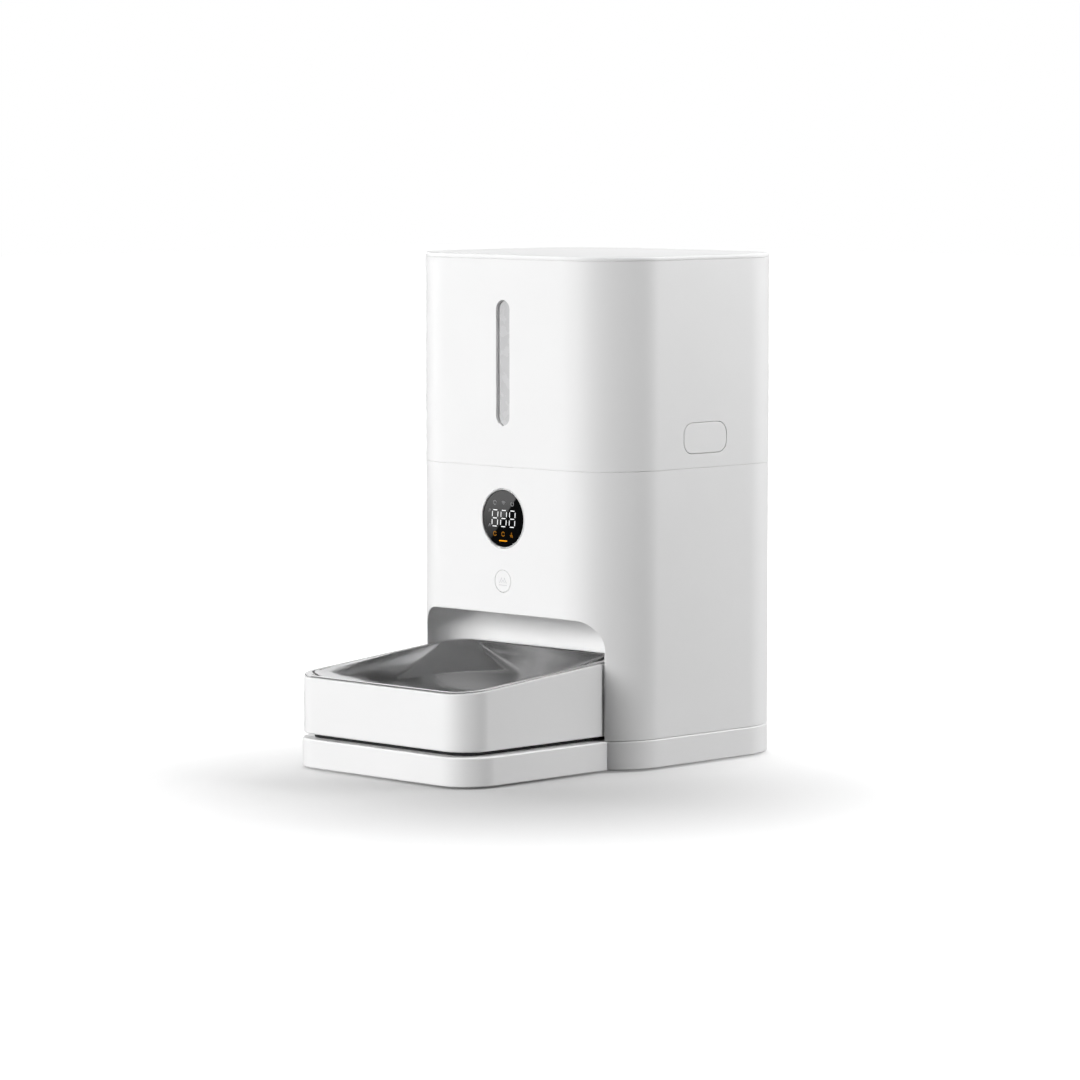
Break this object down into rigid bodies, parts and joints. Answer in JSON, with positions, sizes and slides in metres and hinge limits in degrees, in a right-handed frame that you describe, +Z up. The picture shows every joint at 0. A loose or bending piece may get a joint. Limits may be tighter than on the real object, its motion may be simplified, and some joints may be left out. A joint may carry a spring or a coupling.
{
  "type": "automatic pet feeder",
  "caption": "Automatic pet feeder: rounded tower with lift-off lid and hopper, geared dispensing wheel, round display, feed button and a steel bowl that slides out of a niche.",
  "frame": {"origin": "on the floor at the centre of the footprint", "axes": "+Z up, -Y towards the front where the bowl is, +X to the feeder's left hand side seen by the feeder itself"},
  "size_m": [0.196, 0.2906, 0.332],
  "materials": {
    "shell_white": "satin white moulded shell",
    "inner_white": "plain white inner moulding",
    "stainless": "satin stainless steel",
    "display_black": "polished black display cover",
    "window_grey": "light grey translucent strip",
    "foot_rubber": "matt dark rubber",
    "soft_silicone": "matt grey silicone",
    "gear_plastic": "natural nylon or acetal",
    "plated_metal": "zinc-plated steel",
    "circuit_green": "green circuit board",
    "black_plastic": "matt black plastic",
    "fleece_bag": "non-woven sachet"
  },
  "bodies": {
    "base": {"base_shell": "shell_white", "bottom_plate": "inner_white", "foot_1": "foot_rubber", "foot_2": "foot_rubber", "foot_3": "foot_rubber", "foot_4": "foot_rubber", "base_screw_1": "plated_metal", "base_screw_2": "plated_metal", "base_screw_3": "plated_metal", "base_screw_4": "plated_metal", "lower_housing": "shell_white", "display_bezel": "shell_white", "display_lens": "display_black", "display_light_box": "black_plastic", "front_board": "circuit_green", "feed_spring": "plated_metal", "feed_switch": "black_plastic", "power_inlet": "black_plastic", "main_board": "circuit_green", "top_deck": "inner_white", "metering_cup": "inner_white", "outlet_chute": "inner_white", "outlet_sensor_left": "black_plastic", "outlet_sensor_right": "black_plastic", "shaft_bush": "gear_plastic", "outlet_baffle": "soft_silicone", "gear_motor": "plated_metal", "motor_bracket": "plated_metal", "bowl_pad": "foot_rubber"},
    "feed_button": {"feed_button": "shell_white"},
    "wheel": {"metering_wheel": "soft_silicone", "wheel_shaft": "plated_metal", "stirrer": "soft_silicone", "drive_gear": "gear_plastic"},
    "pinion": {"motor_shaft": "plated_metal", "motor_pinion": "gear_plastic"},
    "hopper": {"hopper_shell": "shell_white", "level_window": "window_grey", "hopper_funnel": "inner_white", "release_bracket_left": "inner_white", "release_bracket_right": "inner_white", "release_spring_left": "plated_metal", "release_spring_right": "plated_metal"},
    "release_left": {"release_button_left": "shell_white"},
    "release_right": {"release_button_right": "shell_white"},
    "lid": {"lid_panel": "shell_white", "lid_seal": "soft_silicone", "desiccant_case": "inner_white", "desiccant_bag": "fleece_bag"},
    "desiccant_cover": {"desiccant_cover": "inner_white"},
    "bowl": {"bowl_holder": "shell_white"},
    "steel_bowl": {"steel_bowl": "stainless"}
  },
  "joints": [
    {"name": "feed_button_press", "type": "slide", "parent": "base", "child": "feed_button", "axis": [0, 1, 0], "range_m": [0, 0.0012], "stiffness_N_per_m": 500, "deforming": ["feed_spring"]},
    {"name": "wheel_turn", "type": "hinge", "parent": "base", "child": "wheel", "pos_m": [0, 0.0573, 0.1542], "axis": [0, 0, 1], "continuous": true},
    {"name": "pinion_turn", "type": "hinge", "parent": "base", "child": "pinion", "pos_m": [0, 0.0824, 0.142], "axis": [0, 0, 1], "continuous": true},
    {"name": "hopper_lift", "type": "slide", "parent": "base", "child": "hopper", "axis": [0, 0, 1], "range_m": [0, 0.06]},
    {"name": "release_left_press", "type": "slide", "parent": "hopper", "child": "release_left", "axis": [1, 0, 0], "range_m": [0, 0.003], "stiffness_N_per_m": 600, "deforming": ["release_spring_left"]},
    {"name": "release_right_press", "type": "slide", "parent": "hopper", "child": "release_right", "axis": [-1, 0, 0], "range_m": [0, 0.003], "stiffness_N_per_m": 600, "deforming": ["release_spring_right"]},
    {"name": "lid_lift", "type": "slide", "parent": "hopper", "child": "lid", "axis": [0, 0, 1], "range_m": [0, 0.05]},
    {"name": "desiccant_cover_turn", "type": "hinge", "parent": "lid", "child": "desiccant_cover", "pos_m": [0, 0.0573, 0.306], "axis": [0, 0, 1], "range_deg": [0, 40]},
    {"name": "bowl_pull", "type": "slide", "parent": "base", "child": "bowl", "axis": [0, -1, 0], "range_m": [0, 0.06]},
    {"name": "steel_bowl_lift", "type": "slide", "parent": "bowl", "child": "steel_bowl", "axis": [0, 0, 1], "range_m": [0, 0.013]}
  ],
  "couplings": [
    {"joint": "pinion_turn", "follows": "wheel_turn", "ratio": -4}
  ]
}
